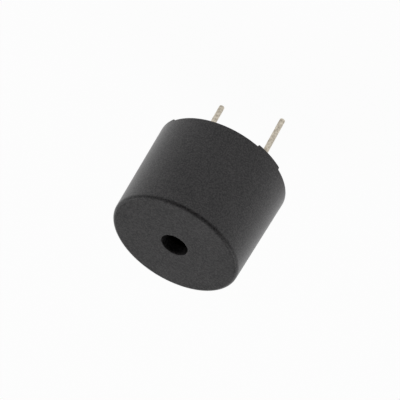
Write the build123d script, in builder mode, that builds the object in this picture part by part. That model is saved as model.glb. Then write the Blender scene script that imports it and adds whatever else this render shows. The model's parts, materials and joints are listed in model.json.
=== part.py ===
from build123d import *
import os
from math import cos, radians, sin, sqrt

# Pin-type, self-driven piezo buzzer, in millimetres.
# The origin is at the centre of the seating plane, under the rim feet. +Z points out of the
# sound port, and +X runs from the negative lead to the positive one.

# Case, outside
rim_diameter = 12.2
face_diameter = 11.8
body_height = 9.1  # rim to sound face
foot_height = 0.2
foot_span = 27.0  # degrees of rim under one foot
foot_angles = (-158.3, -48.0, 76.8)  # middle of each foot, from +X
face_edge_radius = 0.25
port_diameter = 2.5

# Case, inside
rim_wall = 0.9
face_wall = 1.0
board_shoulder = 0.25  # width of the step that the circuit board seats on
diaphragm_ledge = 0.45  # width of the step that the diaphragm seats on
rear_cavity_depth = 2.3  # shoulder to ledge

# Diaphragm: brass plate, ceramic and two silver films
plate_thickness = 0.1
plate_clearance = 0.15
ceramic_setback = 1.3  # bare plate outside the ceramic
ceramic_thickness = 0.12
film_thickness = 0.03
film_margin = 0.3  # bare ceramic outside the films
film_gap = 0.3  # bare ceramic between the films
tongue_width = 1.6
tongue_length = 1.7  # from the films' edge to the middle of the rounded tip
joint_inset = 0.95  # from the films' edge to the middle of each wire's joint
bond_overlap = 0.35  # silicone on the plate
bond_height = 0.4  # silicone on the wall, below the plate

# Circuit board
board_clearance = 0.1
board_thickness = 0.8
copper_thickness = 0.05
hole_clearance = 0.05
pad_inset = 1.0  # from the case's bore to the middle of each wire's pad
track_width = 0.4
pin_land_diameter = 1.5
wire_land = 0.9

# Leads
pin_diameter = 0.5
pin_pitch = 6.5
positive_pin_reach = 6.55  # below the seating plane
negative_pin_reach = 5.95
pin_tip_chamfer = 0.1
pin_root_width = 0.55  # square root, from the rim up through the board
pin_proud = 0.45  # above the copper

# Epoxy seal
potting_recess = 0.5  # from the rim in to the flat of the seal
potting_thickness = 1.1
wall_creep = 0.3  # how far the epoxy draws along the wall
pin_creep = 0.2  # how far it draws down each lead
pin_creep_spread = 0.3
collar_lip = 0.04  # flat left round the lead at the end of an epoxy or solder collar

# Fine wires, from the board to the diaphragm
wire_diameter = 0.2
wire_bend_radius = 0.5
wire_sides = 6

# Solder
pin_solder_spread = 0.3
pin_solder_height = 0.35
drop_radius = 0.3
drop_top_radius = 0.15
drop_height = 0.25
drop_sides = 12

# Transistor
transistor_length = 2.9
transistor_width = 1.3
transistor_height = 1.0
transistor_standoff = 0.05
transistor_bevel = 0.15
leg_pitch = 1.9
leg_width = 0.4
leg_thickness = 0.12
leg_knee = 0.2  # straight out of the body before the bend
leg_foot = 0.35  # flat on the copper
leg_exit_height = 0.45
leg_land = (0.7, 0.9)

# Chip resistors
chip_length = 1.6
chip_width = 0.8
chip_height = 0.45
chip_cap_length = 0.3
chip_cap_wrap = 0.02
chip_land = 0.95

# Places on the board and the diaphragm
transistor_place = (0.0, 1.8)
base_resistor_place = (1.7, -1.5)
collector_resistor_place = (2.05, 2.2)
feedback_resistor_place = (1.0, -2.95)
plate_wire_angles = (26.0, 58.0)  # of the pad on the board, and of the joint on the diaphragm
main_wire_angles = (125.0, 155.0)
feedback_wire_angles = (-100.0, -90.0)

# Heights
rim_z = foot_height
face_z = rim_z + body_height
cavity_top_z = face_z - face_wall
potting_face_z = rim_z + potting_recess
board_bottom_z = potting_face_z + potting_thickness
board_top_z = board_bottom_z + board_thickness
copper_top_z = board_top_z + copper_thickness
ledge_z = board_top_z + rear_cavity_depth
plate_bottom_z = ledge_z - plate_thickness
ceramic_bottom_z = plate_bottom_z - ceramic_thickness
film_bottom_z = ceramic_bottom_z - film_thickness

# Radii
rim_radius = rim_diameter / 2
face_radius = face_diameter / 2
draft_slope = (rim_radius - face_radius) / body_height
foot_radius = rim_radius + draft_slope * foot_height
port_radius = port_diameter / 2
board_bay_radius = rim_radius - rim_wall
diaphragm_bay_radius = board_bay_radius - board_shoulder
front_cavity_radius = diaphragm_bay_radius - diaphragm_ledge
plate_radius = diaphragm_bay_radius - plate_clearance
ceramic_radius = plate_radius - ceramic_setback
film_radius = ceramic_radius - film_margin
board_radius = board_bay_radius - board_clearance
pin_radius = pin_diameter / 2
pin_root_reach = pin_root_width * sqrt(2) / 2
pin_hole_radius = pin_root_reach + hole_clearance
wire_radius = wire_diameter / 2
bond_width = plate_clearance + bond_overlap
bare_plate_radius = (ceramic_radius + diaphragm_bay_radius - bond_width) / 2
wire_pad_radius = diaphragm_bay_radius - pad_inset
film_joint_radius = film_radius - joint_inset


def polar(radius, angle):
    """Point of the board's plane at that radius and angle from +X."""
    return (radius * cos(radians(angle)), radius * sin(radians(angle)))


positive_pin_place = (pin_pitch / 2, 0.0)
negative_pin_place = (-pin_pitch / 2, 0.0)
plate_wire_pad, main_wire_pad, feedback_wire_pad = (
    polar(wire_pad_radius, angles[0])
    for angles in (plate_wire_angles, main_wire_angles, feedback_wire_angles)
)
plate_wire_joint = polar(bare_plate_radius, plate_wire_angles[1])
main_wire_joint = polar(film_joint_radius, main_wire_angles[1])
feedback_wire_joint = polar(film_joint_radius, feedback_wire_angles[1])


def solder_drop(place, z, base_radius, top_radius, height):
    """Solder on a flat at z, as a blunt faceted cone; a negative height hangs down."""
    with BuildPart() as drop:
        for level, radius in ((z, base_radius), (z + height, top_radius)):
            with BuildSketch(Plane.XY.offset(level)):
                with Locations(place):
                    RegularPolygon(radius, drop_sides)
        loft()
    return drop.part


def pin_solder(place):
    """Collar of solder on the copper, round the square root of a lead."""
    radii = (pin_root_reach + pin_solder_spread, pin_root_reach + collar_lip)
    cone = solder_drop(place, copper_top_z, *radii, pin_solder_height)
    with BuildPart() as collar:
        add(cone)
        with BuildSketch(Plane.XY.offset(copper_top_z)):
            with Locations(place):
                Rectangle(pin_root_width, pin_root_width)
        extrude(amount=pin_solder_height, mode=Mode.SUBTRACT)
    return collar.part


def lead_pin(place, reach):
    """Lead: round tail with a chamfered tip, and a square root held by the epoxy and the solder."""
    with BuildPart() as pin:
        with BuildSketch(Plane.XY.offset(-reach)):
            with Locations(place):
                Circle(pin_radius)
        extrude(amount=reach + rim_z)
        chamfer(pin.edges().filter_by(GeomType.CIRCLE).sort_by(Axis.Z)[0], pin_tip_chamfer)
        with BuildSketch(Plane.XY.offset(rim_z)):
            with Locations(place):
                Rectangle(pin_root_width, pin_root_width)
        extrude(amount=copper_top_z + pin_proud - rim_z)
    return pin.part


def lead_wire(pad, joint, joint_z):
    """Fine faceted wire: up from its pad, across the rear cavity and up to its joint."""
    start_z = copper_top_z + drop_height
    end_z = joint_z - drop_height
    level_z = (start_z + end_z) / 2
    with BuildPart() as wire:
        with BuildLine():
            FilletPolyline(
                (*pad, start_z),
                (*pad, level_z),
                (*joint, level_z),
                (*joint, end_z),
                radius=wire_bend_radius,
            )
        with BuildSketch(Plane.XY.offset(start_z)):
            with Locations(pad):
                RegularPolygon(wire_radius, wire_sides)
        sweep()
    return wire.part


def transistor_leg(x, side):
    """Gull-wing leg from the transistor's long side, at x along it, down to the copper."""
    root = (transistor_place[0] + x, transistor_place[1] + side * transistor_width / 2, copper_top_z)
    top = leg_exit_height + leg_thickness
    drop = leg_knee + leg_thickness
    with BuildPart() as leg:
        with BuildSketch(Plane(root, x_dir=(0, side, 0), z_dir=(side, 0, 0))):
            with BuildLine():
                Polyline(
                    (0, leg_exit_height),
                    (0, top),
                    (drop, top),
                    (drop, leg_thickness),
                    (drop + leg_foot, leg_thickness),
                    (drop + leg_foot, 0),
                    (leg_knee, 0),
                    (leg_knee, leg_exit_height),
                    close=True,
                )
            make_face()
        extrude(amount=leg_width / 2, both=True)
    return leg.part


def chip_resistor(place, angle):
    """Ceramic chip with a metal cap wrapped round each end."""
    cap_offset = (chip_length - chip_cap_length) / 2
    seat = Plane((*place, copper_top_z)).rotated((0, 0, angle))
    with BuildPart() as chip:
        with BuildSketch(seat.offset(chip_cap_wrap)):
            Rectangle(chip_length - 2 * chip_cap_wrap, chip_width - 2 * chip_cap_wrap)
        extrude(amount=chip_height - 2 * chip_cap_wrap)
        with BuildSketch(seat):
            with Locations((-cap_offset, 0), (cap_offset, 0)):
                Rectangle(chip_cap_length, chip_width)
        extrude(amount=chip_height)
    return chip.part


def track(start, end):
    """Straight copper track between two points of the board."""
    run = Vector(*end) - Vector(*start)
    middle = (Vector(*start) + Vector(*end)) / 2
    with Locations(middle):
        Rectangle(run.length, track_width, rotation=run.get_signed_angle(Vector(1, 0, 0)))


# Moulded case: a drafted cup, open at the rim, with a step for the board and one for the diaphragm
with BuildPart() as case:
    with BuildSketch(Plane.XZ):
        with BuildLine():
            Polyline(
                (board_bay_radius, 0),
                (foot_radius, 0),
                (face_radius, face_z),
                (port_radius, face_z),
                (port_radius, cavity_top_z),
                (front_cavity_radius, cavity_top_z),
                (front_cavity_radius, ledge_z),
                (diaphragm_bay_radius, ledge_z),
                (diaphragm_bay_radius, board_top_z),
                (board_bay_radius, board_top_z),
                close=True,
            )
        make_face()
    revolve(axis=Axis.Z)
    circles = case.edges().filter_by(GeomType.CIRCLE)
    fillet(circles.group_by(Axis.Z)[-1].sort_by(SortBy.RADIUS)[-1], face_edge_radius)
    # The rim is cut back between the feet
    feet = sorted(foot_angles)
    for foot, next_foot in zip(feet, feet[1:] + [feet[0] + 360]):
        gap_start = foot + foot_span / 2
        gap_span = next_foot - foot - foot_span
        with BuildSketch(Plane.XY):
            with BuildLine():
                outer = CenterArc((0, 0), foot_radius + rim_wall, gap_start, gap_span)
                inner = CenterArc((0, 0), board_bay_radius - rim_wall, gap_start, gap_span)
                Line(outer @ 0, inner @ 0)
                Line(outer @ 1, inner @ 1)
            make_face()
        extrude(amount=foot_height, mode=Mode.SUBTRACT)
case.part.label = "case"

with BuildPart() as diaphragm_plate:
    with BuildSketch(Plane.XY.offset(plate_bottom_z)):
        Circle(plate_radius)
    extrude(amount=plate_thickness)
diaphragm_plate.part.label = "diaphragm_plate"

with BuildPart() as ceramic_disc:
    with BuildSketch(Plane.XY.offset(ceramic_bottom_z)):
        Circle(ceramic_radius)
    extrude(amount=ceramic_thickness)
ceramic_disc.part.label = "ceramic_disc"

# The feedback film is a tongue that reaches in from the edge, and the main film goes round it
tongue_root = (0, -film_radius)
tongue_tip = (0, -film_radius + tongue_length)

with BuildPart() as main_electrode:
    with BuildSketch(Plane.XY.offset(film_bottom_z)):
        Circle(film_radius)
        SlotCenterPoint(tongue_root, tongue_tip, tongue_width + 2 * film_gap, mode=Mode.SUBTRACT)
    extrude(amount=film_thickness)
main_electrode.part.label = "main_electrode"

with BuildPart() as feedback_electrode:
    with BuildSketch(Plane.XY.offset(film_bottom_z)):
        Circle(film_radius)
        SlotCenterPoint(tongue_root, tongue_tip, tongue_width, mode=Mode.INTERSECT)
    extrude(amount=film_thickness)
feedback_electrode.part.label = "feedback_electrode"

# Silicone bead: fills the gap round the plate and laps onto its back
with BuildPart() as bond_ring:
    with BuildSketch(Plane.XZ):
        with BuildLine():
            Polyline(
                (diaphragm_bay_radius, plate_bottom_z - bond_height),
                (diaphragm_bay_radius, ledge_z),
                (plate_radius, ledge_z),
                (plate_radius, plate_bottom_z),
                (diaphragm_bay_radius - bond_width, plate_bottom_z),
                close=True,
            )
        make_face()
    revolve(axis=Axis.Z)
bond_ring.part.label = "bond_ring"

pin_places = (positive_pin_place, negative_pin_place)
wire_pads = (plate_wire_pad, main_wire_pad, feedback_wire_pad)

with BuildPart() as circuit_board:
    with BuildSketch(Plane.XY.offset(board_bottom_z)):
        Circle(board_radius)
        with Locations(*pin_places):
            Circle(pin_hole_radius, mode=Mode.SUBTRACT)
    extrude(amount=board_thickness)
circuit_board.part.label = "circuit_board"

# Where the small parts meet the copper
chip_end = (chip_length - chip_cap_length) / 2
leg_reach = transistor_width / 2 + leg_knee + leg_thickness + leg_foot / 2
tx, ty = transistor_place
base_land = (tx + leg_pitch / 2, ty - leg_reach)
emitter_land = (tx - leg_pitch / 2, ty - leg_reach)
collector_land = (tx, ty + leg_reach)
base_chip_base = (base_resistor_place[0] - chip_end, base_resistor_place[1])
base_chip_supply = (base_resistor_place[0] + chip_end, base_resistor_place[1])
collector_chip_collector = (collector_resistor_place[0], collector_resistor_place[1] + chip_end)
collector_chip_supply = (collector_resistor_place[0], collector_resistor_place[1] - chip_end)
feedback_chip_base = (feedback_resistor_place[0], feedback_resistor_place[1] + chip_end)
feedback_chip_film = (feedback_resistor_place[0], feedback_resistor_place[1] - chip_end)

with BuildPart() as copper_tracks:
    with BuildSketch(Plane.XY.offset(board_top_z)):
        with Locations(*pin_places):
            Circle(pin_land_diameter / 2)
        with Locations(*wire_pads):
            Rectangle(wire_land, wire_land)
        with Locations(base_land, emitter_land, collector_land):
            Rectangle(*leg_land)
        with Locations(
            base_chip_base,
            base_chip_supply,
            collector_chip_collector,
            collector_chip_supply,
            feedback_chip_base,
            feedback_chip_film,
        ):
            Rectangle(chip_land, chip_land)
        track(positive_pin_place, base_chip_supply)
        track(positive_pin_place, plate_wire_pad)
        track(positive_pin_place, collector_chip_supply)
        track(negative_pin_place, emitter_land)
        track(base_land, base_chip_base)
        track(base_chip_base, feedback_chip_base)
        track(feedback_chip_film, feedback_wire_pad)
        track(collector_land, main_wire_pad)
        track(collector_land, collector_chip_collector)
        with Locations(*pin_places):
            Circle(pin_hole_radius, mode=Mode.SUBTRACT)
    extrude(amount=copper_thickness)
copper_tracks.part.label = "copper_tracks"

with BuildPart() as transistor:
    with BuildSketch(Plane.XY.offset(copper_top_z + transistor_standoff)):
        with Locations(transistor_place):
            Rectangle(transistor_length, transistor_width)
    extrude(amount=transistor_height)
    chamfer(transistor.faces().sort_by(Axis.Z)[-1].edges(), transistor_bevel)
transistor.part.label = "transistor"

# Epoxy seal: flat in the middle, drawn up at the wall and down each lead
with BuildPart() as potting:
    with BuildSketch(Plane.XZ):
        with BuildLine():
            Polyline(
                (board_bay_radius - wall_creep, potting_face_z),
                (board_bay_radius, potting_face_z - wall_creep),
                (board_bay_radius, board_bottom_z),
                (0, board_bottom_z),
                (0, potting_face_z),
                close=True,
            )
        make_face()
    revolve(axis=Axis.Z)
    with Locations(*((*place, potting_face_z - pin_creep) for place in pin_places)):
        Cone(
            pin_root_reach + collar_lip,
            pin_root_reach + pin_creep_spread,
            pin_creep,
            align=(Align.CENTER, Align.CENTER, Align.MIN),
        )
    with BuildSketch(Plane.XY.offset(potting_face_z - pin_creep)):
        with Locations(*pin_places):
            Rectangle(pin_root_width, pin_root_width)
    extrude(amount=pin_creep + potting_thickness, mode=Mode.SUBTRACT)
potting.part.label = "potting"

repeated = {
    "pin_positive": lead_pin(positive_pin_place, positive_pin_reach),
    "pin_negative": lead_pin(negative_pin_place, negative_pin_reach),
    "plate_wire": lead_wire(plate_wire_pad, plate_wire_joint, plate_bottom_z),
    "main_wire": lead_wire(main_wire_pad, main_wire_joint, film_bottom_z),
    "feedback_wire": lead_wire(feedback_wire_pad, feedback_wire_joint, film_bottom_z),
    "transistor_base_leg": transistor_leg(leg_pitch / 2, -1),
    "transistor_emitter_leg": transistor_leg(-leg_pitch / 2, -1),
    "transistor_collector_leg": transistor_leg(0, 1),
    "base_resistor": chip_resistor(base_resistor_place, 0),
    "collector_resistor": chip_resistor(collector_resistor_place, 90),
    "feedback_resistor": chip_resistor(feedback_resistor_place, 90),
}

drop = (drop_radius, drop_top_radius)
repeated["positive_pin_solder"] = pin_solder(positive_pin_place)
repeated["negative_pin_solder"] = pin_solder(negative_pin_place)
repeated["plate_wire_pad"] = solder_drop(plate_wire_pad, copper_top_z, *drop, drop_height)
repeated["main_wire_pad"] = solder_drop(main_wire_pad, copper_top_z, *drop, drop_height)
repeated["feedback_wire_pad"] = solder_drop(feedback_wire_pad, copper_top_z, *drop, drop_height)
repeated["plate_wire_joint"] = solder_drop(plate_wire_joint, plate_bottom_z, *drop, -drop_height)
repeated["main_wire_joint"] = solder_drop(main_wire_joint, film_bottom_z, *drop, -drop_height)
repeated["feedback_wire_joint"] = solder_drop(feedback_wire_joint, film_bottom_z, *drop, -drop_height)

for name, piece in repeated.items():
    piece.label = name

pieces = [
    case.part,
    diaphragm_plate.part,
    ceramic_disc.part,
    main_electrode.part,
    feedback_electrode.part,
    bond_ring.part,
    circuit_board.part,
    copper_tracks.part,
    transistor.part,
    potting.part,
    *repeated.values(),
]
os.makedirs("parts", exist_ok=True)
for piece in pieces:
    export_step(piece, f"parts/{piece.label}.step")
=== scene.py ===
"""Looks of a round pin-type piezo buzzer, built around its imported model. Lengths are in metres."""

import json
import math

import bmesh
import bpy
import numpy as np
from bpy.props import FloatProperty, FloatVectorProperty, PointerProperty
from mathutils import Matrix, Vector


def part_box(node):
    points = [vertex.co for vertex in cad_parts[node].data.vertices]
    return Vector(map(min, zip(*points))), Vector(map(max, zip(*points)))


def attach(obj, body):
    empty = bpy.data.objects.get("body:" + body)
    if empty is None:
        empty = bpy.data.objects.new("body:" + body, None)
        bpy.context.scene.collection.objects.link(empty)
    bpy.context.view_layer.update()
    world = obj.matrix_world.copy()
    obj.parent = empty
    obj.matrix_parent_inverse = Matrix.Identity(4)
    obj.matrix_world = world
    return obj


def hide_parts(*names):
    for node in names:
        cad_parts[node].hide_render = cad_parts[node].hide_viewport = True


bl_info = {
    "name": "Piezo buzzer",
    "version": (1, 0, 0),
    "blender": (4, 5, 0),
    "location": "3D View > Sidebar > Buzzer",
    "description": "Moulded case, tinned leads, cast seal and finishes of a pin-type piezo buzzer",
    "category": "Object",
}

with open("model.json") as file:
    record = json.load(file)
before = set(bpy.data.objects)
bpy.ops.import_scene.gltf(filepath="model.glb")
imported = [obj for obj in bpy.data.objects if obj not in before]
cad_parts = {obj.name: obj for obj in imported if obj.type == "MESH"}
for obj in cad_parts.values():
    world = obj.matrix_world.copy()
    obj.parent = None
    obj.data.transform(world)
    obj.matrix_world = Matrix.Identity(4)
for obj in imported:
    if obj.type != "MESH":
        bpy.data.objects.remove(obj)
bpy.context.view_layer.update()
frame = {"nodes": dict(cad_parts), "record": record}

MM = 0.001
BODY = "root"
LEADS = {"lead_positive": "pin_positive", "lead_negative": "pin_negative"}


def corners_of(node):
    """Lowest and highest corner of a node at rest."""
    return tuple(np.array(corner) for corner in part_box(node))


CASE_LOW, CASE_HIGH = corners_of("case")
SEAL_LOW, SEAL_HIGH = corners_of("potting")
RIM_RADIUS = max(*np.abs(CASE_LOW[:2]), *CASE_HIGH[:2])
SEAL_RADIUS = SEAL_HIGH[0]
BOARD_Z = corners_of("circuit_board")[1][2]
DIAPHRAGM_RADIUS, _, LEDGE_Z = corners_of("bond_ring")[1]
FLOOR_Z = min(corners_of(node)[0][2] for node in LEADS.values())

# Points of the grids: columns go round a piece, and rows go along its section
CASE_COLUMNS = 288
FOOT_END_COLUMNS = 13
ARC_ROWS = 9
LEAD_COLUMNS = 64
TIP_ROWS, TAIL_ROWS, SWAGE_ROWS, ROOT_ROWS, END_ROWS = 13, 60, 11, 14, 6
SEAL_COLUMNS = 320
SEAL_MIDDLE_ROWS, SEAL_EDGE_ROWS, SEAL_BACK_ROWS = 110, 26, 24
SAME_POINT = 1e-7

# Stage, with the sensor in millimetres as Blender's lenses are
WHITE = (1.0, 1.0, 1.0, 1.0)
SENSOR_WIDTH = 36.0
SOFTBOX_SIDE = 0.3
SOFTBOX_DISTANCE = 0.5


class BuzzerSizes(bpy.types.PropertyGroup):
    """Sizes of the forms that the frame doesn't give"""

    face_diameter: FloatProperty(
        name="Face diameter", description="Body at the sound face", default=11.8 * MM, unit="LENGTH"
    )
    face_edge: FloatProperty(
        name="Face edge", description="Radius round the sound face", default=0.34 * MM, unit="LENGTH"
    )
    port_diameter: FloatProperty(
        name="Port", description="Diameter of the sound port", default=2.5 * MM, unit="LENGTH"
    )
    port_edge: FloatProperty(
        name="Port edge", description="Radius round the sound port", default=0.04 * MM, unit="LENGTH"
    )
    face_wall: FloatProperty(
        name="Face wall", description="Thickness of the sound face", default=1.0 * MM, unit="LENGTH"
    )
    ledge: FloatProperty(
        name="Ledge", description="Width of the diaphragm's ledge", default=0.45 * MM, unit="LENGTH"
    )
    rim_edge: FloatProperty(
        name="Rim edge", description="Radius along the open rim", default=0.05 * MM, unit="LENGTH"
    )
    inner_edge: FloatProperty(
        name="Inner edge", description="Radius of the inner steps", default=0.04 * MM, unit="LENGTH"
    )
    foot_height: FloatProperty(
        name="Foot height", description="Feet below the rim", default=0.2 * MM, unit="LENGTH"
    )
    foot_span: FloatProperty(
        name="Foot span",
        description="Arc of one foot",
        default=math.radians(27.0),
        unit="ROTATION",
    )
    foot_angles: FloatVectorProperty(
        name="Foot angles",
        description="Middle of each foot, from +X",
        size=3,
        default=[math.radians(angle) for angle in (-158.3, -48.0, 76.8)],
        unit="ROTATION",
    )
    foot_ramp: FloatProperty(
        name="Foot ramp",
        description="Arc over which a foot rises",
        default=math.radians(0.9),
        unit="ROTATION",
    )
    lead_diameter: FloatProperty(
        name="Lead", description="Diameter of a lead's tail", default=0.5 * MM, unit="LENGTH"
    )
    lead_root: FloatProperty(
        name="Lead root", description="Width of a lead's square root", default=0.55 * MM, unit="LENGTH"
    )
    lead_tip: FloatProperty(
        name="Lead tip", description="Length of a lead's rounded tip", default=0.12 * MM, unit="LENGTH"
    )
    lead_lean: FloatVectorProperty(
        name="Lead lean",
        description="Shift of each tip along X and Y",
        size=2,
        default=(0.11 * MM, -0.17 * MM),
        unit="LENGTH",
    )
    wall_creep: FloatProperty(
        name="Wall creep", description="Epoxy drawn along the wall", default=0.3 * MM, unit="LENGTH"
    )
    lead_creep: FloatProperty(
        name="Lead creep", description="Epoxy drawn down each lead", default=0.2 * MM, unit="LENGTH"
    )
    creep_reach: FloatProperty(
        name="Creep reach", description="Width of the drawn-up epoxy", default=0.13 * MM, unit="LENGTH"
    )


def colour(name, description, red, green, blue):
    """A colour property, in linear light."""
    return FloatVectorProperty(
        name=name, description=description, size=3, subtype="COLOR", default=(red, green, blue)
    )


class BuzzerColours(bpy.types.PropertyGroup):
    """Colours of the finishes"""

    case_dark: colour("Case, dark", "Moulded plastic", 0.008, 0.0075, 0.009)
    case_light: colour("Case, light", "Speckle of the plastic", 0.080, 0.076, 0.077)
    tin_light: colour("Tin, light", "Lead where the tin is clean", 0.73, 0.67, 0.565)
    tin_dark: colour("Tin, dark", "Lead where the tin is dull", 0.28, 0.243, 0.19)
    epoxy: colour("Epoxy", "Cast seal", 0.010, 0.010, 0.011)
    dust: colour("Dust", "Fine dust on the seal", 0.09, 0.085, 0.08)
    brass: colour("Brass", "Diaphragm plate", 0.72, 0.53, 0.25)
    ceramic: colour("Ceramic", "Piezo disc", 0.50, 0.47, 0.38)
    ceramic_light: colour("Ceramic, light", "Grain of the piezo disc", 0.62, 0.58, 0.48)
    silver: colour("Silver", "Fired films", 0.78, 0.77, 0.74)
    silicone: colour("Silicone", "Bond bead", 0.66, 0.66, 0.63)
    silicone_light: colour("Silicone, light", "Clouds in the bond bead", 0.8, 0.8, 0.78)
    laminate: colour("Laminate", "Circuit board", 0.33, 0.22, 0.09)
    copper: colour("Copper", "Tracks", 0.72, 0.38, 0.22)
    solder: colour("Solder", "Joints and pads", 0.66, 0.66, 0.65)
    wire: colour("Wire", "Fine wires and legs", 0.68, 0.64, 0.57)
    chip: colour("Chip", "Transistor and resistors", 0.020, 0.020, 0.023)
    transistor_light: colour("Transistor, light", "Grain of its moulding", 0.045, 0.045, 0.05)
    resistor_light: colour("Resistor, light", "Grain of the resistors", 0.06, 0.06, 0.08)
    floor: colour("Floor", "Plain pale floor", 0.97, 0.97, 0.97)


class BuzzerStage(bpy.types.PropertyGroup):
    """Camera, floor and lights"""

    azimuth: FloatProperty(
        name="Azimuth",
        description="0 looks along +Y, and 90 along -X",
        default=math.radians(-38.586),
        unit="ROTATION",
    )
    elevation: FloatProperty(
        name="Elevation",
        description="Camera above the horizon",
        default=math.radians(32.19),
        unit="ROTATION",
    )
    roll: FloatProperty(
        name="Roll",
        description="Turn about the line of sight",
        default=math.radians(-148.583),
        unit="ROTATION",
    )
    target: FloatVectorProperty(
        name="Target",
        description="Middle of the picture",
        size=3,
        default=(-0.0435 * MM, -0.2725 * MM, 4.2685 * MM),
        unit="LENGTH",
    )
    distance: FloatProperty(
        name="Distance", description="Camera to target", default=284.466 * MM, unit="LENGTH"
    )
    focal_length: FloatProperty(
        name="Focal length", description="On a sensor 36 mm wide, in mm", default=300.7
    )
    floor_side: FloatProperty(
        name="Floor", description="Side of the floor", default=4.0, unit="LENGTH"
    )
    shadow: FloatProperty(
        name="Shadow", description="Share of the floor's shadow that shows", default=0.04
    )
    room: FloatProperty(name="Room", description="Brightness of the room overhead", default=0.44)
    dim: FloatProperty(
        name="Dim side", description="Brightness of the room above the camera's side", default=0.1
    )
    key_level: FloatProperty(name="Key", description="Brightness of the key softbox", default=0.9)
    key_turn: FloatProperty(
        name="Key turn",
        description="Key softbox, from the camera's right round to the back",
        default=math.radians(50.0),
        unit="ROTATION",
    )
    fill_level: FloatProperty(name="Fill", description="Brightness of the fill softbox", default=1.1)
    fill_turn: FloatProperty(
        name="Fill turn",
        description="Fill softbox, from the camera's right round to the back",
        default=math.radians(155.0),
        unit="ROTATION",
    )
    box_rise: FloatProperty(
        name="Softbox rise",
        description="Softboxes above the horizon",
        default=math.radians(40.0),
        unit="ROTATION",
    )


class Field:
    """A value that varies over a surface or the sky: one socket, whose arithmetic adds Math nodes."""

    def __init__(self, finish, socket):
        self.finish = finish
        self.socket = socket

    def maths(self, operation, *values):
        """One Math node on these values."""
        return self.finish.node("ShaderNodeMath", dict(enumerate(values)), operation=operation)

    def __add__(self, other):
        return self.maths("ADD", self, other)

    def __sub__(self, other):
        return self.maths("SUBTRACT", self, other)

    def __rsub__(self, other):
        return self.maths("SUBTRACT", other, self)

    def __mul__(self, other):
        return self.maths("MULTIPLY", self, other)

    __radd__ = __add__
    __rmul__ = __mul__

    def clear(self, low, high):
        """0 below low, 1 above high, and a straight ramp between."""
        settings = {"Value": self, "From Min": low, "From Max": high}
        return self.finish.node("ShaderNodeMapRange", settings, clamp=True)


class Finish:
    """A node tree of a material or of the world, built up from node() and Field."""

    def __init__(self, owner):
        self.owner = owner
        owner.use_nodes = True
        self.tree = owner.node_tree
        self.tree.nodes.clear()

    def node(self, kind, values=None, output=0, **settings):
        """Makes one node: its settings first, then its sockets' values or links."""
        made = self.tree.nodes.new(kind)
        for name, setting in settings.items():
            setattr(made, name, setting)
        for name, value in (values or {}).items():
            if isinstance(value, Field):
                self.tree.links.new(value.socket, made.inputs[name])
            else:
                made.inputs[name].default_value = value
        return None if output is None else Field(self, made.outputs[output])

    def ray(self, kind):
        """1 for light paths of that kind and 0 for others."""
        return self.node("ShaderNodeLightPath", output=f"Is {kind} Ray")

    def mix(self, first, second, factor):
        """Colour that goes from the first to the second as factor goes from 0 to 1.

        Inputs 0, 6 and 7 of a Mix node are its factor and its colours, and output 2 is its colour.
        """
        values = {0: factor, 6: paint(first), 7: paint(second)}
        return self.node("ShaderNodeMix", values, output=2, data_type="RGBA")

    def place(self, stretch=(1.0, 1.0, 1.0)):
        """Point of the surface in the frame, stretched along its axes."""
        point = self.node("ShaderNodeTexCoord", output="Object")
        return self.node("ShaderNodeMapping", {"Vector": point, "Scale": stretch})

    def noise(self, size, detail=2.0, stretch=(1.0, 1.0, 1.0)):
        """Cloudy value from 0 to 1 whose lumps are about size across."""
        values = {"Vector": self.place(stretch), "Scale": 1.0 / size, "Detail": detail}
        return self.node("ShaderNodeTexNoise", values)

    def bump(self, height, depth):
        """Normal of a surface that rises by depth as height goes from 0 to 1."""
        return self.node("ShaderNodeBump", {"Height": height, "Strength": 1.0, "Distance": depth})

    def surface(self, **values):
        """Ends a material with one Principled surface."""
        named = {name.replace("_", " "): paint(value) for name, value in values.items()}
        shader = self.node("ShaderNodeBsdfPrincipled", named)
        self.node("ShaderNodeOutputMaterial", {"Surface": shader}, output=None)
        return self.owner


def paint(value):
    """Adds the fourth part that a colour socket needs."""
    if isinstance(value, Field) or np.isscalar(value) or len(value) != 3:
        return value
    return (*value, 1.0)


def scaled(tone, share):
    """A tone at a share of its brightness."""
    return tuple(share * part for part in tone)


def new_finish(name):
    """An empty finish in a material of its own."""
    return Finish(bpy.data.materials.new(name))


def colours():
    """The scene's colours."""
    return bpy.context.scene.buzzer_colours


def sizes():
    """The scene's sizes."""
    return bpy.context.scene.buzzer_sizes


def case_plastic():
    """Black moulding with an even spark-eroded grain, a faint speckle and slow patches."""
    finish = new_finish("case_plastic")
    grain = finish.noise(0.12 * MM, detail=3.0)
    speckle = finish.noise(0.13 * MM, detail=1.0).clear(0.37, 0.65)
    patches = finish.noise(2.4 * MM, detail=3.0).clear(0.3, 0.7)
    pale = speckle * 0.8 + patches * 0.2
    return finish.surface(
        Base_Color=finish.mix(colours().case_dark, colours().case_light, pale),
        Roughness=grain * 0.12 + patches * 0.04 + 0.26,
        Specular_IOR_Level=0.36,
        Normal=finish.bump(grain, 0.014 * MM),
    )


def lead_tin():
    """Dull dipped tin: long drawn streaks, small dark pits and mottled patches."""
    finish = new_finish("lead_tin")
    streaks = finish.noise(0.07 * MM, detail=3.0, stretch=(1.0, 1.0, 0.12))
    mottle = finish.noise(0.24 * MM, detail=3.0).clear(0.34, 0.7)
    pits = finish.noise(0.09 * MM, detail=2.0).clear(0.56, 0.72)
    dull = mottle * 0.55 + streaks * 0.25 + pits * 0.35
    return finish.surface(
        Base_Color=finish.mix(colours().tin_light, colours().tin_dark, dull),
        Metallic=1.0,
        Roughness=mottle * 0.12 + pits * 0.2 + 0.3,
        Normal=finish.bump(streaks - pits * 0.6, 0.008 * MM),
    )


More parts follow.
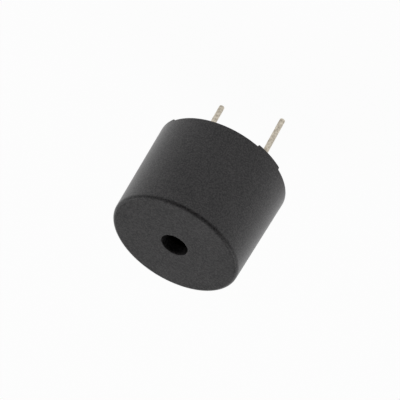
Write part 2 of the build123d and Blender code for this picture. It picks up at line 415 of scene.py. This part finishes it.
def epoxy():
    """Cast black epoxy: glossy, with slow ripples and fine dust."""
    finish = new_finish("epoxy")
    ripple = finish.noise(1.7 * MM, detail=2.0)
    dust = finish.noise(0.05 * MM, detail=2.0).clear(0.64, 0.72)
    return finish.surface(
        Base_Color=finish.mix(colours().epoxy, colours().dust, dust * 0.6),
        Roughness=dust * 0.4 + ripple * 0.12 + 0.12,
        Normal=finish.bump(ripple + dust * 0.06, 0.03 * MM),
    )


def rolled_metal(name, tone, roughness, lump, depth):
    """Metal sheet or film: fine grain along X, with darker breath marks."""
    finish = new_finish(name)
    grain = finish.noise(lump, detail=3.0, stretch=(0.15, 1.0, 1.0))
    marks = finish.noise(1.3 * MM, detail=4.0).clear(0.4, 0.7)
    return finish.surface(
        Base_Color=finish.mix(tone, scaled(tone, 0.62), marks * 0.5 + grain * 0.3),
        Metallic=1.0,
        Roughness=marks * 0.12 + grain * 0.1 + roughness,
        Normal=finish.bump(grain, depth),
    )


def soft_metal(name, tone, roughness):
    """Solder or tinned copper: smooth, with slow waves and a few duller spots."""
    finish = new_finish(name)
    waves = finish.noise(0.22 * MM, detail=2.0)
    spots = finish.noise(0.09 * MM, detail=3.0).clear(0.52, 0.68)
    return finish.surface(
        Base_Color=finish.mix(tone, scaled(tone, 0.55), spots * 0.6),
        Metallic=1.0,
        Roughness=spots * 0.2 + roughness,
        Normal=finish.bump(waves, 0.02 * MM),
    )


def grainy(name, tone, lighter, roughness, lump, depth):
    """Ceramic, rubber or moulding compound: two tones mixed by an even grain and wider clouds."""
    finish = new_finish(name)
    grain = finish.noise(lump, detail=4.0)
    clouds = finish.noise(lump * 9.0, detail=2.0)
    return finish.surface(
        Base_Color=finish.mix(tone, lighter, grain * 0.6 + clouds * 0.4),
        Roughness=grain * 0.15 + roughness,
        Normal=finish.bump(grain, depth),
    )


def laminate():
    """Paper laminate: brown resin with long fibres along X."""
    finish = new_finish("board_laminate")
    fibres = finish.noise(0.08 * MM, detail=4.0, stretch=(0.12, 1.0, 1.0))
    clouds = finish.noise(1.1 * MM, detail=2.0)
    tone = colours().laminate
    return finish.surface(
        Base_Color=finish.mix(tone, scaled(tone, 1.5), fibres * 0.7 + clouds * 0.3),
        Roughness=fibres * 0.2 + 0.35,
        Normal=finish.bump(fibres, 0.006 * MM),
    )


def inner_finishes():
    """Finish of each slot whose pieces keep the frame's own solids."""
    tones = colours()
    return {
        "plate_brass": rolled_metal(
            "plate_brass", tones.brass, roughness=0.24, lump=0.06 * MM, depth=0.002 * MM
        ),
        "ceramic": grainy(
            "ceramic",
            tones.ceramic,
            tones.ceramic_light,
            roughness=0.55,
            lump=0.04 * MM,
            depth=0.003 * MM,
        ),
        "silver_film": rolled_metal(
            "silver_film", tones.silver, roughness=0.36, lump=0.03 * MM, depth=0.002 * MM
        ),
        "silicone": grainy(
            "silicone",
            tones.silicone,
            tones.silicone_light,
            roughness=0.35,
            lump=0.2 * MM,
            depth=0.02 * MM,
        ),
        "board_laminate": laminate(),
        "track_copper": rolled_metal(
            "track_copper", tones.copper, roughness=0.26, lump=0.04 * MM, depth=0.002 * MM
        ),
        "solder": soft_metal("solder", tones.solder, roughness=0.2),
        "wire_tin": soft_metal("wire_tin", tones.wire, roughness=0.26),
        "transistor_moulding": grainy(
            "transistor_moulding",
            tones.chip,
            tones.transistor_light,
            roughness=0.5,
            lump=0.03 * MM,
            depth=0.004 * MM,
        ),
        "chip_ceramic": grainy(
            "chip_ceramic",
            tones.chip,
            tones.resistor_light,
            roughness=0.3,
            lump=0.05 * MM,
            depth=0.003 * MM,
        ),
    }


def link(name, data):
    """A new object in the scene."""
    made = bpy.data.objects.new(name, data)
    bpy.context.scene.collection.objects.link(made)
    return made


def grid_mesh(name, points, closed_rows):
    """Turns a grid of points, rows by columns, into an object whose columns go all the way round.

    Rows also close on themselves where closed_rows is true. Rows of one repeated point become a pole.
    """
    rows, columns = points.shape[:2]
    index = np.arange(rows * columns).reshape(rows, columns)
    lower = index if closed_rows else index[:-1]
    upper = np.roll(index, -1, axis=0)[: len(lower)]
    corners = (lower, np.roll(lower, -1, axis=1), np.roll(upper, -1, axis=1), upper)
    faces = np.stack(corners, axis=-1).reshape(-1, 4)
    mesh = bpy.data.meshes.new(name)
    mesh.from_pydata(points.reshape(-1, 3).tolist(), [], faces.tolist())
    work = bmesh.new()
    work.from_mesh(mesh)
    bmesh.ops.remove_doubles(work, verts=work.verts, dist=SAME_POINT)
    bmesh.ops.recalc_face_normals(work, faces=work.faces)
    work.to_mesh(mesh)
    work.free()
    mesh.shade_smooth()
    return link(name, mesh)


def settle(piece, material, slot, *nodes):
    """Gives a new piece its finish and its body, and hides the nodes that it stands for. The slot is
    not used.
    """
    piece.data.materials.append(material)
    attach(piece, BODY)
    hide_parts(*nodes)


def smooth_step(value):
    """0 below 0, 1 above 1, and 3v^2 - 2v^3 between."""
    value = np.clip(value, 0.0, 1.0)
    return value * value * (3.0 - 2.0 * value)


def wrapped(angle):
    """The same angle between minus half a turn and half a turn."""
    return (angle + math.pi) % (2 * math.pi) - math.pi


def turned(radius, angles, z):
    """Points at a radius and an angle about Z, and at height z."""
    return np.stack([radius * np.cos(angles), radius * np.sin(angles), z], axis=-1)


def rounded_outline(corners, radii, steps, hold):
    """Closed outline with each corner turned into an arc of its own radius.

    The arc touches both sides at radius / tan(half angle) from the corner, and its centre lies at
    radius / sin(half angle) along the bisector. A holding point on each side keeps the flats flat.
    """
    before = np.roll(corners, 1, axis=0) - corners
    after = np.roll(corners, -1, axis=0) - corners
    before /= np.linalg.norm(before, axis=1, keepdims=True)
    after /= np.linalg.norm(after, axis=1, keepdims=True)
    half = np.arccos(np.sum(before * after, axis=1)) / 2
    middle = before + after
    middle /= np.linalg.norm(middle, axis=1, keepdims=True)
    touch = (radii / np.tan(half))[:, None]
    centre = corners + middle * (radii / np.sin(half))[:, None]
    start = corners + before * touch - centre
    end = corners + after * touch - centre
    sweep = (math.pi - 2 * half)[:, None]
    part = np.linspace(0.0, 1.0, steps)[None, :]
    blend = np.stack([np.sin((1 - part) * sweep), np.sin(part * sweep)]) / np.sin(sweep)
    arc = centre[:, None] + blend[0][..., None] * start[:, None] + blend[1][..., None] * end[:, None]
    lead_in = (corners + before * (touch + hold))[:, None]
    lead_out = (corners + after * (touch + hold))[:, None]
    return np.concatenate([lead_in, arc, lead_out], axis=1).reshape(-1, 2)


def case_angles(size):
    """Angles of the case's columns: an even set, with finer ones in its place where a foot ends.

    Finer columns reach 0.9 of a ramp to each side of a foot's end, and even ones keep 1.1 from it.
    """
    fine_reach, even_gap = 0.9, 1.1
    even = np.linspace(-math.pi, math.pi, CASE_COLUMNS, endpoint=False)
    centres = np.array(size.foot_angles)
    ends = (centres[:, None] + np.array([-0.5, 0.5]) * size.foot_span).ravel()
    rise = np.linspace(-fine_reach, fine_reach, FOOT_END_COLUMNS) * size.foot_ramp
    apart = np.abs(wrapped(even[:, None] - ends)).min(axis=1)
    fine = wrapped((ends[:, None] + rise).ravel())
    return np.sort(np.concatenate([even[apart > size.foot_ramp * even_gap], fine]))


def case_points(size):
    """The case: its rounded section turned about Z, with the rim lifted between the feet.

    The lift at an angle is the foot's height times a smooth step of the arc outside each foot. It
    moves the points at the rim only, and the outer wall keeps its draft.
    """
    hold = 0.03 * MM
    face_radius = size.face_diameter / 2
    cavity_radius = DIAPHRAGM_RADIUS - size.ledge
    face_z = CASE_HIGH[2]
    cavity_z = face_z - size.face_wall
    port_radius = size.port_diameter / 2
    corners = np.array([
        (SEAL_RADIUS, 0.0),
        (RIM_RADIUS, 0.0),
        (face_radius, face_z),
        (port_radius, face_z),
        (port_radius, cavity_z),
        (cavity_radius, cavity_z),
        (cavity_radius, LEDGE_Z),
        (DIAPHRAGM_RADIUS, LEDGE_Z),
        (DIAPHRAGM_RADIUS, BOARD_Z),
        (SEAL_RADIUS, BOARD_Z),
    ])
    radii = np.full(len(corners), size.inner_edge)
    radii[:4] = size.rim_edge, size.rim_edge, size.face_edge, size.port_edge
    outline = rounded_outline(corners, radii, ARC_ROWS, hold)
    angles = case_angles(size)
    apart = np.abs(wrapped(angles[:, None] - np.array(size.foot_angles)))
    outside = smooth_step((apart - size.foot_span / 2) / size.foot_ramp + 0.5)
    lift = size.foot_height * np.prod(outside, axis=1)
    radius, z = outline[:, :1], outline[:, 1:]
    at_rim = z < size.foot_height
    on_outside = radius > (SEAL_RADIUS + RIM_RADIUS) / 2
    draft = (RIM_RADIUS - face_radius) / face_z
    raised = z + at_rim * lift
    narrowed = radius - at_rim * on_outside * draft * lift
    return turned(narrowed, angles, raised)


def lead_points(size, node):
    """A lead: round at its tip and tail, and drawn into a rounded square where the epoxy holds it.

    Each section is |x|^n + |y|^n = w^n, with n going from 2 to 9 and the half width w from the tail's
    to the root's. The tip's radius is the sine and its height the cosine of one quarter turn, raised
    to powers that flatten the end. Two slow sine waves make w uneven by up to 1.6%. Below the rim the
    section shifts evenly, by the whole lean at the tip.
    """
    round_power, square_power = 2, 9
    tip_breadth, tip_flatness = 0.55, 0.9
    swage_reach, root_end = 0.1 * MM, 0.06 * MM
    waviness, long_wave, short_wave, wave_shift = 0.008, 0.9 * MM, 0.37 * MM, 1.0

    low, high = corners_of(node)
    middle = (low + high)[:2] / 2
    quarter = math.pi / 2
    tip_turn = np.linspace(0.0, quarter, TIP_ROWS)
    tip_radius = size.lead_diameter / 2 * np.sin(tip_turn) ** tip_breadth
    tip_z = low[2] + size.lead_tip * (1 - np.cos(tip_turn) ** tip_flatness)
    tail_z = np.linspace(tip_z[-1], size.foot_height - swage_reach, TAIL_ROWS)[1:]
    swage_z = np.linspace(tail_z[-1], size.foot_height + swage_reach, SWAGE_ROWS)[1:]
    root_z = np.linspace(swage_z[-1], high[2] - root_end, ROOT_ROWS)[1:]
    z = np.concatenate([tip_z, tail_z, swage_z, root_z])
    swage = smooth_step((z - tail_z[-1]) / (swage_z[-1] - tail_z[-1]))
    half = size.lead_diameter / 2 * (1 - swage) + size.lead_root / 2 * swage
    half[:TIP_ROWS] = tip_radius
    half *= 1 - waviness * (1 + np.sin(z / long_wave) * np.sin(z / short_wave + wave_shift))

    end_turn = np.linspace(0.0, quarter, END_ROWS)[1:]
    half = np.concatenate([half, size.lead_root / 2 * np.cos(end_turn)])
    z = np.concatenate([z, root_z[-1] + (high[2] - root_z[-1]) * np.sin(end_turn)])
    squareness = np.append(swage, np.ones(len(end_turn)))[:, None]
    power = round_power + (square_power - round_power) * squareness
    angles = np.linspace(0.0, 2 * math.pi, LEAD_COLUMNS, endpoint=False) + math.pi / LEAD_COLUMNS
    along, across = np.cos(angles), np.sin(angles)
    reach = half[:, None] / (np.abs(along) ** power + np.abs(across) ** power) ** (1 / power)
    level = np.broadcast_to(z[:, None], reach.shape)
    lean = np.clip(level / low[2], 0.0, 1.0)[..., None] * np.array(size.lead_lean)
    flat = np.stack([middle[0] + reach * along, middle[1] + reach * across], axis=-1) + lean
    return np.concatenate([flat, level[..., None]], axis=-1)


def seal_points(size):
    """The epoxy seal: level, but drawn down at the wall and at each lead by a falling exponential.

    Depth is wall_creep * e^(-gap to the wall / reach), plus the same with lead_creep and the gap to
    each lead. Products and sums of slow sine waves, which fade towards the wall, make the rest uneven.
    Rows lie closer past 0.93 of the radius. The back is flat against the circuit board.
    """
    edge_start = 0.93
    wave_height, wave_fade, wave_shift = 0.012 * MM, 6, 0.4
    wave_x, wave_y, wave_across = 1.1 * MM, 1.4 * MM, 0.8 * MM

    spread = np.concatenate([
        np.linspace(0.0, edge_start, SEAL_MIDDLE_ROWS, endpoint=False),
        np.linspace(edge_start, 1.0, SEAL_EDGE_ROWS),
    ])
    angles = np.linspace(0.0, 2 * math.pi, SEAL_COLUMNS, endpoint=False)
    radius = SEAL_RADIUS * spread[:, None] + 0 * angles
    x, y = radius * np.cos(angles), radius * np.sin(angles)
    level = SEAL_LOW[2] + size.wall_creep
    depth = size.wall_creep * np.exp((radius - SEAL_RADIUS) / size.creep_reach)
    for node in LEADS.values():
        low, high = corners_of(node)
        lead_x, lead_y = (low + high)[:2] / 2
        gap = np.maximum(np.hypot(x - lead_x, y - lead_y) - size.lead_root / 2, 0.0)
        depth += size.lead_creep * np.exp(-gap / size.creep_reach)
    inner = 1 - spread[:, None] ** wave_fade
    waves = np.sin(x / wave_x + wave_shift) * np.sin(y / wave_y) + np.sin((x + y) / wave_across)
    bottom = level - depth + wave_height * waves * inner
    bottom[0] = bottom[0].mean()
    back_radius = np.linspace(1.0, 0.0, SEAL_BACK_ROWS)[:, None] * SEAL_RADIUS + 0 * angles
    back_z = np.full_like(back_radius, SEAL_HIGH[2])
    return np.concatenate([turned(radius, angles, bottom), turned(back_radius, angles, back_z)])


class BUZZER_OT_case(bpy.types.Operator):
    """Makes the moulded case in place of its plain solid"""

    bl_idname = "buzzer.case"
    bl_label = "Case"

    def execute(self, context):
        piece = grid_mesh("case_moulding", case_points(sizes()), closed_rows=True)
        settle(piece, case_plastic(), "case_plastic", "case")
        return {"FINISHED"}


class BUZZER_OT_leads(bpy.types.Operator):
    """Makes both leads, with rounded tips and swaged roots"""

    bl_idname = "buzzer.leads"
    bl_label = "Leads"

    def execute(self, context):
        material = lead_tin()
        for name, node in LEADS.items():
            piece = grid_mesh(name, lead_points(sizes(), node), closed_rows=False)
            settle(piece, material, "lead_tin", node)
        return {"FINISHED"}


class BUZZER_OT_seal(bpy.types.Operator):
    """Makes the cast epoxy seal, drawn up at the wall and at the leads"""

    bl_idname = "buzzer.seal"
    bl_label = "Epoxy seal"

    def execute(self, context):
        piece = grid_mesh("epoxy_seal", seal_points(sizes()), closed_rows=False)
        settle(piece, epoxy(), "epoxy", "potting")
        return {"FINISHED"}


class BUZZER_OT_inner_pieces(bpy.types.Operator):
    """Gives the diaphragm, the circuit board and what is on them their finishes"""

    bl_idname = "buzzer.inner_pieces"
    bl_label = "Inner pieces"

    def execute(self, context):
        finishes = inner_finishes()
        for part in frame["record"]["subparts"]:
            if part["material_slot"] not in finishes:
                continue
            for slot in frame["nodes"][part["node"]].material_slots:
                slot.material = finishes[part["material_slot"]]
        return {"FINISHED"}


def camera_axes(stage):
    """Right, up and back of the camera, rolled about the line of sight."""
    flat = math.cos(stage.elevation)
    back = Vector((
        math.sin(stage.azimuth) * flat,
        -math.cos(stage.azimuth) * flat,
        math.sin(stage.elevation),
    ))
    level = Vector((0, 0, 1)).cross(back).normalized()
    upright = back.cross(level)
    right = math.cos(stage.roll) * level + math.sin(stage.roll) * upright
    up = -math.sin(stage.roll) * level + math.cos(stage.roll) * upright
    return right, up, back


def add_camera(stage):
    """Long lens at the stage's distance from its target."""
    data = bpy.data.cameras.new("camera")
    data.sensor_width = SENSOR_WIDTH
    data.lens = stage.focal_length
    data.clip_start = 0.01
    data.clip_end = 10.0
    right, up, back = camera_axes(stage)
    turn = Matrix((right, up, back)).transposed().to_4x4()
    camera = link("camera", data)
    camera.matrix_world = Matrix.Translation(Vector(stage.target) + stage.distance * back) @ turn
    bpy.context.scene.camera = camera


def add_floor(stage):
    """Level square under the lead tips. To the camera and in gloss it is white, with a faint shadow."""
    half = stage.floor_side / 2
    corners = [(x * half, y * half, FLOOR_Z) for x, y in ((-1, -1), (1, -1), (1, 1), (-1, 1))]
    mesh = bpy.data.meshes.new("floor")
    mesh.from_pydata(corners, [], [(0, 1, 2, 3)])
    floor = link("floor", mesh)
    finish = new_finish("floor")
    matte = finish.node("ShaderNodeBsdfDiffuse", {"Color": paint(colours().floor)})
    white = finish.node("ShaderNodeEmission", {"Color": WHITE, "Strength": 1.0})
    direct = sum(finish.ray(kind) for kind in ("Camera", "Glossy", "Transmission"))
    shown = direct * (1.0 - stage.shadow)
    both = finish.node("ShaderNodeMixShader", {0: shown, 1: matte, 2: white})
    finish.node("ShaderNodeOutputMaterial", {"Surface": both}, output=None)
    mesh.materials.append(finish.owner)


def add_world(stage):
    """Pale surroundings: white at the horizon, dimmer overhead and above the camera's side.

    Heights are sines of the angle above the horizon. The camera's side is full within 40 degrees of
    the camera's direction, and ends at 80.
    """
    horizon, wall_top, ceiling = 0.06, 0.2, 0.5
    side_middle, side_end = math.radians(40), math.radians(80)
    world = bpy.data.worlds.new("studio")
    bpy.context.scene.world = world
    finish = Finish(world)
    direction = finish.node("ShaderNodeTexCoord", output="Generated")
    height = finish.node("ShaderNodeSeparateXYZ", {"Vector": direction}, output="Z")
    overhead = height.clear(horizon, ceiling)
    towards = finish.node(
        "ShaderNodeVectorMath",
        {0: direction, 1: tuple(camera_axes(stage)[2])},
        output="Value",
        operation="DOT_PRODUCT",
    )
    beside = towards.clear(math.cos(side_end), math.cos(side_middle))
    raised = beside * height.clear(horizon, wall_top)
    light = (1 - overhead * (1 - stage.room)) * (1 - raised * (1 - stage.dim))
    shade = finish.node("ShaderNodeBackground", {"Color": WHITE, "Strength": light})
    finish.node("ShaderNodeOutputWorld", {"Surface": shade}, output=None)


def add_softbox(stage, name, turn, level):
    """Square soft light that faces the buzzer: level is its brightness, and 1 is white."""
    data = bpy.data.lights.new(name, "AREA")
    data.shape = "SQUARE"
    data.size = SOFTBOX_SIDE
    data.energy = level * math.pi * SOFTBOX_SIDE * SOFTBOX_SIDE
    back = camera_axes(stage)[2]
    right = Vector((0, 0, 1)).cross(back).normalized()
    away = Vector((0, 0, 1)).cross(right)
    level_way = math.cos(turn) * right + math.sin(turn) * away
    direction = math.cos(stage.box_rise) * level_way + Vector((0, 0, math.sin(stage.box_rise)))
    lamp = link(name, data)
    lamp.location = SOFTBOX_DISTANCE * direction
    lamp.rotation_euler = direction.to_track_quat("Z", "Y").to_euler()


class BUZZER_OT_stage(bpy.types.Operator):
    """Adds the camera, the pale floor and the soft light"""

    bl_idname = "buzzer.stage"
    bl_label = "Stage"

    def execute(self, context):
        stage = context.scene.buzzer_stage
        bpy.context.scene.view_settings.view_transform = "Standard"
        add_camera(stage)
        add_floor(stage)
        add_world(stage)
        add_softbox(stage, "key", stage.key_turn, stage.key_level)
        add_softbox(stage, "fill", stage.fill_turn, stage.fill_level)
        return {"FINISHED"}


class BUZZER_PT_panel(bpy.types.Panel):
    """Lists the steps that build the buzzer"""

    bl_label = "Piezo buzzer"
    bl_idname = "BUZZER_PT_panel"
    bl_space_type = "VIEW_3D"
    bl_region_type = "UI"
    bl_category = "Buzzer"

    def draw(self, context):
        for step in STEPS:
            self.layout.operator(step.bl_idname)
        for group in GROUPS:
            properties = getattr(context.scene, group)
            for name in properties.__annotations__:
                self.layout.prop(properties, name)


STEPS = (BUZZER_OT_stage, BUZZER_OT_case, BUZZER_OT_leads, BUZZER_OT_seal, BUZZER_OT_inner_pieces)
GROUPS = {"buzzer_sizes": BuzzerSizes, "buzzer_colours": BuzzerColours, "buzzer_stage": BuzzerStage}


def register():
    for item in (*GROUPS.values(), *STEPS, BUZZER_PT_panel):
        bpy.utils.register_class(item)
    for name, group in GROUPS.items():
        setattr(bpy.types.Scene, name, PointerProperty(type=group))


def unregister():
    for name in GROUPS:
        delattr(bpy.types.Scene, name)
    for item in (BUZZER_PT_panel, *reversed(STEPS), *GROUPS.values()):
        bpy.utils.unregister_class(item)


def main():
    register()
    bpy.ops.buzzer.stage()
    bpy.ops.buzzer.case()
    bpy.ops.buzzer.leads()
    bpy.ops.buzzer.seal()
    bpy.ops.buzzer.inner_pieces()


if __name__ == "__main__":
    main()
